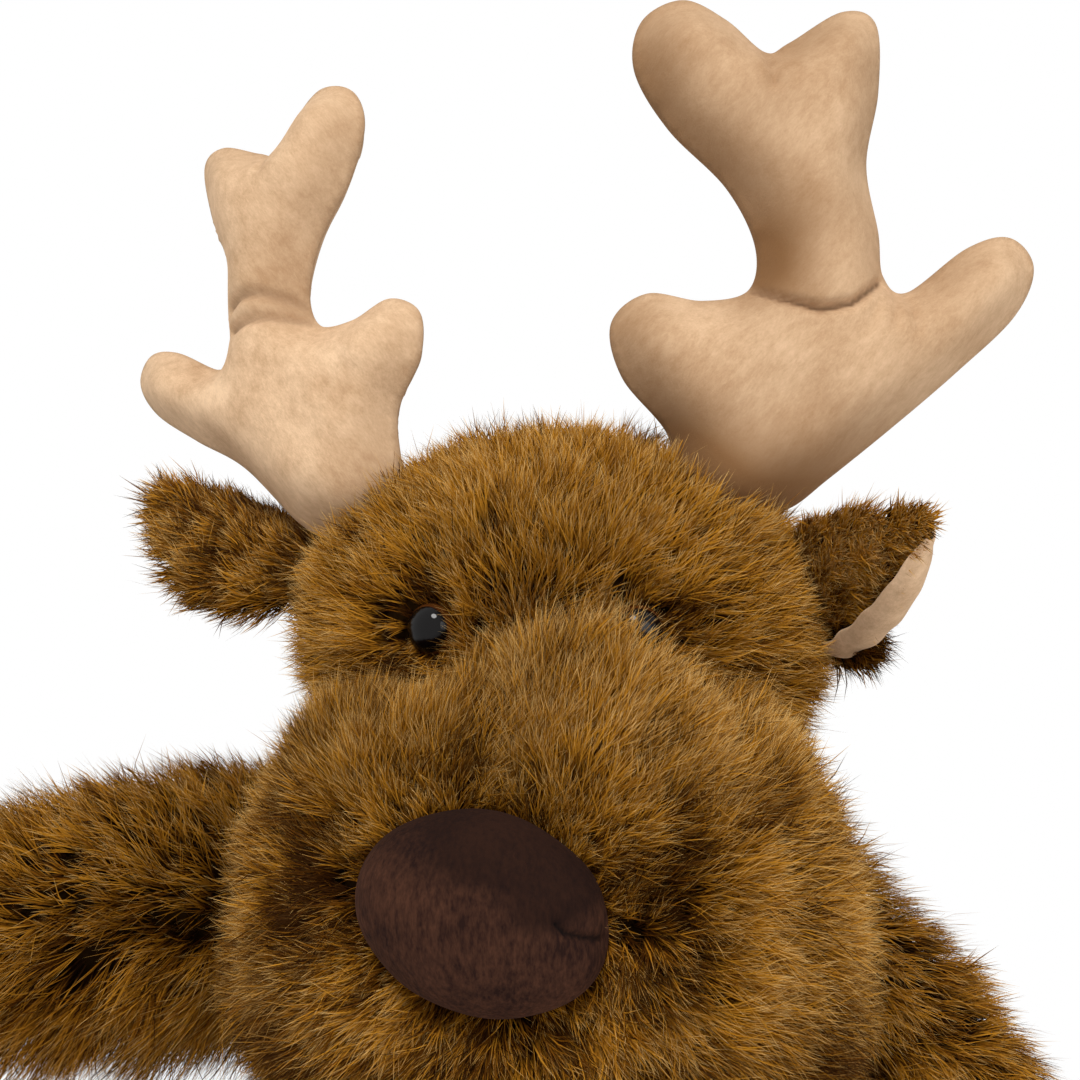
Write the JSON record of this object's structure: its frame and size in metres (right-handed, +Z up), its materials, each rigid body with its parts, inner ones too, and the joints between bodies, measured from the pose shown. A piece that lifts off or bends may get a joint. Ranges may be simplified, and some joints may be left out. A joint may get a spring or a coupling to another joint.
{
  "type": "plush deer",
  "caption": "Seated stuffed deer with a large round muzzle, padded branched antlers, jointed soft limbs and a flat seat.",
  "frame": {"origin": "on the floor under the middle of the torso, at the flat seat", "axes": "+Z up, -Y the way the deer faces, +X towards its left side"},
  "size_m": [0.6899, 0.4451, 0.7135],
  "materials": {
    "brown_fur": "long brown pile, combed, matt",
    "tan_velour": "short tan velour",
    "cocoa_velour": "short dark cocoa velour",
    "white_stuffing": "loose polyester filling",
    "pellet_bag_cloth": "thin bag of small plastic pellets",
    "black_gloss": "glossy black safety eye",
    "white_plastic": "plain moulded washer"
  },
  "bodies": {
    "torso": {"torso_skin": "brown_fur", "tummy_panel": "tan_velour", "torso_stuffing": "white_stuffing", "pellet_bag": "pellet_bag_cloth"},
    "neck": {"neck_plug": "brown_fur"},
    "head": {"head_skin": "brown_fur", "head_stuffing": "white_stuffing", "muzzle_skin": "brown_fur", "muzzle_stuffing": "white_stuffing", "nose_cover": "cocoa_velour", "nose_stuffing": "white_stuffing", "eye_left": "black_gloss", "eye_right": "black_gloss", "eye_washer_left": "white_plastic", "eye_washer_right": "white_plastic"},
    "arm_left": {"arm_left_skin": "brown_fur", "arm_left_hoof": "tan_velour", "arm_left_stuffing": "white_stuffing"},
    "arm_right": {"arm_right_skin": "brown_fur", "arm_right_hoof": "tan_velour", "arm_right_stuffing": "white_stuffing"},
    "leg_left": {"leg_left_skin": "brown_fur", "leg_left_hoof": "tan_velour", "leg_left_stuffing": "white_stuffing"},
    "leg_right": {"leg_right_skin": "brown_fur", "leg_right_hoof": "tan_velour", "leg_right_stuffing": "white_stuffing"},
    "ear_left": {"ear_left_back": "brown_fur", "ear_left_lining": "tan_velour"},
    "ear_right": {"ear_right_back": "brown_fur", "ear_right_lining": "tan_velour"},
    "antler_left": {"antler_left_front": "tan_velour", "antler_left_back": "tan_velour", "antler_left_stuffing": "white_stuffing"},
    "antler_right": {"antler_right_front": "tan_velour", "antler_right_back": "tan_velour", "antler_right_stuffing": "white_stuffing"},
    "tail": {"tail_skin": "brown_fur", "tail_stuffing": "white_stuffing"}
  },
  "joints": [
    {"name": "neck_turn", "type": "hinge", "parent": "torso", "child": "neck", "pos_m": [0, -0.012, 0.3], "axis": [0, 0, 1], "range_deg": [-12, 20], "stiffness_Nm_per_rad": 4},
    {"name": "head_nod", "type": "hinge", "parent": "neck", "child": "head", "pos_m": [0, -0.012, 0.3], "axis": [1, 0, 0], "range_deg": [-12, 6], "stiffness_Nm_per_rad": 20},
    {"name": "shoulder_left", "type": "hinge", "parent": "torso", "child": "arm_left", "pos_m": [0.1, 0, 0.262], "axis": [0, -1, 0], "range_deg": [0, 45], "stiffness_Nm_per_rad": 2},
    {"name": "shoulder_right", "type": "hinge", "parent": "torso", "child": "arm_right", "pos_m": [-0.1, 0, 0.262], "axis": [0, 1, 0], "range_deg": [-5, 25], "stiffness_Nm_per_rad": 4},
    {"name": "hip_left", "type": "hinge", "parent": "torso", "child": "leg_left", "pos_m": [0.086, -0.066, 0.0625], "axis": [0, 0, 1], "range_deg": [-5, 20], "stiffness_Nm_per_rad": 2},
    {"name": "hip_right", "type": "hinge", "parent": "torso", "child": "leg_right", "pos_m": [-0.086, -0.066, 0.0625], "axis": [0, 0, -1], "range_deg": [-5, 20], "stiffness_Nm_per_rad": 2},
    {"name": "ear_left_flop", "type": "hinge", "parent": "head", "child": "ear_left", "pos_m": [0.11895, -0.09197, 0.42802], "axis": [-0.3967, -0.0679, 0.9154], "range_deg": [-12, 12], "stiffness_Nm_per_rad": 0.3},
    {"name": "ear_right_flop", "type": "hinge", "parent": "head", "child": "ear_right", "pos_m": [-0.1235, -0.07801, 0.43398], "axis": [-0.2783, -0.8777, -0.39], "range_deg": [-3, 20], "stiffness_Nm_per_rad": 0.3},
    {"name": "antler_left_lean", "type": "hinge", "parent": "head", "child": "antler_left", "pos_m": [0.0846, -0.102, 0.48142], "axis": [0.9781, 0.2079, 0], "range_deg": [-4, 4], "stiffness_Nm_per_rad": 3},
    {"name": "antler_right_lean", "type": "hinge", "parent": "head", "child": "antler_right", "pos_m": [-0.0957, -0.102, 0.47305], "axis": [0.9216, -0.2742, 0.2746], "range_deg": [-4, 4], "stiffness_Nm_per_rad": 3},
    {"name": "tail_wag", "type": "hinge", "parent": "torso", "child": "tail", "pos_m": [0, 0.118, 0.062], "axis": [0, -0.6157, 0.788], "range_deg": [-15, 15], "stiffness_Nm_per_rad": 0.3}
  ]
}
